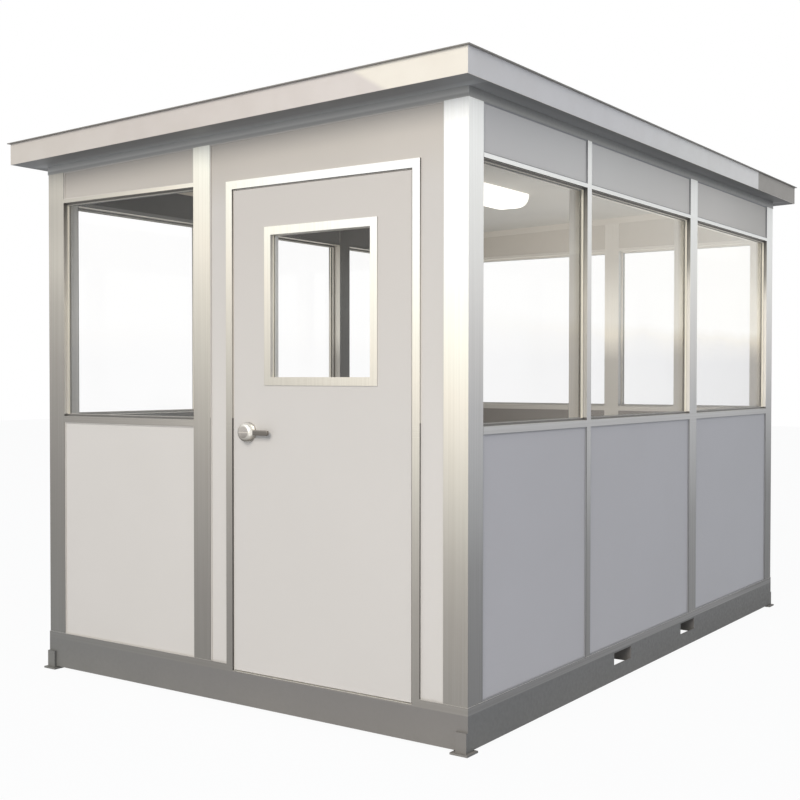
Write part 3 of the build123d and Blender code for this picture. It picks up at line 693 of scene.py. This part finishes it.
# The lever's root carries a painted highlight, and the lever is painted dark below as a reflection of
# the ground, lighter along its top edge.
on_lever = brushed.fade(across, root_end - root_blur, root_end + root_blur)
root_highlight = (abs(up) < lever_high * 0.55) * (across > root_start)
drum_tone = brushed.blend(root_highlight, drum_tone, tint(244, 240, 231))
lever_reflection_tone = brushed.bands(up, (-0.012, 112, 107, 101), (0.006, 124, 119, 113), (0.012, 170, 164, 156))
steel = brushed.blend(on_lever, drum_tone, lever_reflection_tone)
brushed.colour(brushed.dulled(brush_lines * 0.35, steel, tint(226, 225, 223)))
brushed.gloss(brush_lines, 0.26, 0.4)
brushed.bump(brush_lines, 0.0002, 0.25)
handle_piece = finished("lever_handles", [outer_handle, inner_handle, spindle], brushed, "lever")
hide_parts("lever_handle")

# ------------------------------------------------------------------------------------------------
# Roof: an insulated slab with a coated fascia round its edge and a sheet on top that overhangs it as a
# drip. One corner of the end fascia carries a painted patch of light, and the long side's fascia is
# darker over its last length.
# ------------------------------------------------------------------------------------------------
coat = Finish("roof_coat", {"Metallic": 0.0})
lit_slant, lit_start, darker_length_start = 1.65, 5.10, 1.271
lit_patch = coat.fade(coat.x + coat.z * lit_slant, lit_start, lit_start + 0.05)
# Painted light: the end fascia is lighter towards the right, and the long fascia lighter towards the
# back.
end_coat = coat.blend(lit_patch, coat.bands(coat.x, (-1.3, 200, 193, 184), (-0.4, 199, 191, 184),
                                        (0.2, 203, 195, 188), (0.8, 209, 201, 195)),
                      tint(229, 222, 209))
side_coat = coat.bands(coat.y, (-1.98, 214, 211, 210), (-0.87, 219, 216, 215), (0.34, 232, 229, 224),
                       (1.27, 240, 236, 231))
side_coat = coat.blend(coat.y > darker_length_start, side_coat, tint(156, 150, 142))
coat_tone = coat.blend(coat.faces_side(), end_coat, side_coat)
coat.colour(coat.dulled(coat.fade(coat.noise(7.0, 4.0), 0.35, 0.65) * 0.6, coat_tone,
                        tint(249, 248, 247)))
coat.gloss(coat.noise(90.0), 0.4, 0.52)
coat.bump(coat.noise(150.0), 0.0003, 0.2)
coat.on("roof_fascia")

sheet = Finish("roof_sheet", {"Metallic": 0.0})
sheet_top = sheet.blend(sheet.noise(1.5, 5.0), tint(160, 158, 154), tint(176, 174, 170))
sheet.colour(sheet.blend(sheet.facing()[2] > squarely, tint(128, 124, 118), sheet_top))
sheet.gloss(sheet.noise(90.0), 0.4, 0.55)
sheet.bump(sheet.noise(150.0), 0.0003, 0.2)
sheet.on("roof_sheet")

liner = Finish("roof_liner", {"Metallic": 0.0})
liner_side_depth, liner_end_depth = liner.depths()
out_from_wall = liner.add("ShaderNodeMath", {"operation": "MAXIMUM"},
                          {0: 0.0 - liner_side_depth, 1: 0.0 - liner_end_depth})
liner_cloud = liner.noise(2.0, 3.0)
# Outside, the soffit is painted dark as shade, lighter next to the walls and darker still under the
# long eave towards the back and under the back eave; the ceiling is painted lighter towards the back as
# light.
soffit_tone = liner.bands(out_from_wall, (0.0, 165, 165, 164), (0.06, 118, 118, 118),
                          (0.15, 100, 100, 100))
long_eave = (liner_side_depth < 0.0) * (liner_end_depth > 0.0)
back_eave = (liner_end_depth < 0.0) * (liner.y > 0.0)
eave_shade = liner.fade(liner.y, -1.8, 1.4, 0.26, 0.48) + liner.fade(liner.y, 1.55, 1.82, 0.0, 0.3)
soffit_tone = liner.blend(long_eave * eave_shade + back_eave * 0.5, soffit_tone, tint(10, 10, 8))
ceiling_tone = liner.bands(liner.y, (-1.8, 158, 155, 150), (1.2, 168, 165, 158), (1.8, 190, 186, 178))
ceiling_tone = liner.blend(liner_cloud * 0.3, ceiling_tone, tint(176, 173, 167))
liner.colour(liner.blend(liner.indoors(), soffit_tone, ceiling_tone))
liner.gloss(liner_cloud, 0.5, 0.6)
liner.bump(liner.noise(150.0), 0.0003, 0.2)
liner.on("roof_panel")

# ------------------------------------------------------------------------------------------------
# Ceiling light: a wide shallow fitting under the ceiling, a white diffuser with the lamps on.
# ------------------------------------------------------------------------------------------------
diffuser = Finish("light_diffuser", {"Metallic": 0.0})
glow = diffuser.noise(8.0, 2.0)
diffuser.colour(diffuser.blend(glow, tint(236, 236, 232), tint(244, 244, 240)))
diffuser.gloss(glow, 0.4, 0.5)
diffuser.bump(diffuser.noise(300.0), 0.0003, 0.2)
diffuser.feed(diffuser.shader.inputs["Emission Color"], tint(255, 252, 244))
diffuser.shader.inputs["Emission Strength"].default_value = 0.9
diffuser.on("ceiling_light")

# ------------------------------------------------------------------------------------------------
# Studio: a pale floor, an even white surround, one broad lamp before the door end, a weaker one to
# the side and two small ones in the room. Seen straight on, the floor is almost as white as the sky.
# ------------------------------------------------------------------------------------------------
floor_size, floor_whiteness = 60.0, 0.95
bpy.ops.mesh.primitive_plane_add(size=floor_size, location=(0, 0, 0))
studio_floor = bpy.context.object
studio_floor.name = "studio_floor"
ground = Finish("studio_floor", {"Metallic": 0.0, "Roughness": 0.9})
ground.colour(ground.blend(ground.noise(0.5), tint(204, 208, 216), tint(210, 214, 221)))
ray = ground.add("ShaderNodeLightPath", {}, {}, "Is Camera Ray")
sheen_ray = ground.add("ShaderNodeLightPath", {}, {}, "Is Glossy Ray")
through_ray = ground.add("ShaderNodeLightPath", {}, {}, "Is Transmission Ray")
white = ground.add("ShaderNodeEmission", {}, {"Color": (1, 1, 1, 1), "Strength": 1.0})
mixed = ground.add("ShaderNodeMixShader", {}, {0: (ray + sheen_ray + through_ray) * floor_whiteness,
                                               1: Wire(ground, ground.shader.outputs[0]), 2: white})
ground.feed(ground.output.inputs[0], mixed)
studio_floor.data.materials.append(ground.material)

world = bpy.data.worlds.new("studio_surround")
bpy.context.scene.world = world
world.use_nodes = True
tree = world.node_tree
tree.nodes.clear()


def sky(colour, strength):
    """An even sky of one colour."""
    made = tree.nodes.new("ShaderNodeBackground")
    made.inputs["Color"].default_value = colour
    made.inputs["Strength"].default_value = strength
    return made.outputs[0]


def either_of(first, second):
    """One when either of two switches is."""
    made = tree.nodes.new("ShaderNodeMath")
    made.operation = "MAXIMUM"
    tree.links.new(first, made.inputs[0])
    tree.links.new(second, made.inputs[1])
    return made.outputs[0]


path = tree.nodes.new("ShaderNodeLightPath").outputs
seen = either_of(either_of(path["Is Camera Ray"], path["Is Transmission Ray"]), path["Is Glossy Ray"])
sky_mix = tree.nodes.new("ShaderNodeMixShader")
world_output = tree.nodes.new("ShaderNodeOutputWorld")
for index, socket in enumerate((seen, sky((0.88, 0.94, 1.0, 1), 0.45), sky((1, 1, 1, 1), 1.0))):
    tree.links.new(socket, sky_mix.inputs[index])
tree.links.new(sky_mix.outputs[0], world_output.inputs[0])


def lamp(name, place, target, size, power, colour):
    """A square soft lamp at a place, turned towards a target."""
    data = bpy.data.lights.new(name, "AREA")
    data.size = size
    data.energy = power
    data.color = colour
    thing = bpy.data.objects.new(name, data)
    bpy.context.collection.objects.link(thing)
    thing.location = place
    thing.rotation_euler = (Vector(target) - Vector(place)).to_track_quat("-Z", "Y").to_euler()
    return thing


lamp("front_lamp", (3.4, -14.6, 8.8), (0.4, -1.8, 1.3), 8.0, 1700.0, (1.0, 0.965, 0.92))
lamp("side_lamp", (10.0, 4.0, 5.0), (1.2, 0.5, 1.3), 5.0, 130.0, (0.9, 0.93, 1.0))
room_lamp = lamp("room_lamp", (0.35, 0.4, 0.9), (0.2, 1.7, 2.2), 1.2, 20.0, (1.0, 0.96, 0.9))
door_lamp = lamp("door_lamp", (0.2, -1.45, 1.5), (-0.5, 1.4, 1.5), 0.8, 9.0, (1.0, 0.97, 0.92))
for inner_lamp in (room_lamp, door_lamp):
    inner_lamp.visible_camera = False
    inner_lamp.visible_glossy = False

bpy.context.scene.view_settings.view_transform = "Standard"

# ------------------------------------------------------------------------------------------------
# Camera: standing height, off the corner between the door end and a long side.
# ------------------------------------------------------------------------------------------------
camera_data = bpy.data.cameras.new("camera")
camera_data.sensor_width = 36.0
camera_data.lens = 53.584
eye, eye_drop, eye_roll, eye_turn = (3.5832, -5.6836, 1.4421), 1.0749, -0.0552, 34.8142
camera = bpy.data.objects.new("camera", camera_data)
bpy.context.collection.objects.link(camera)
camera.location = eye
camera.rotation_euler = [math.radians(angle) for angle in (90.0 - eye_drop, eye_roll, eye_turn)]
bpy.context.scene.camera = camera
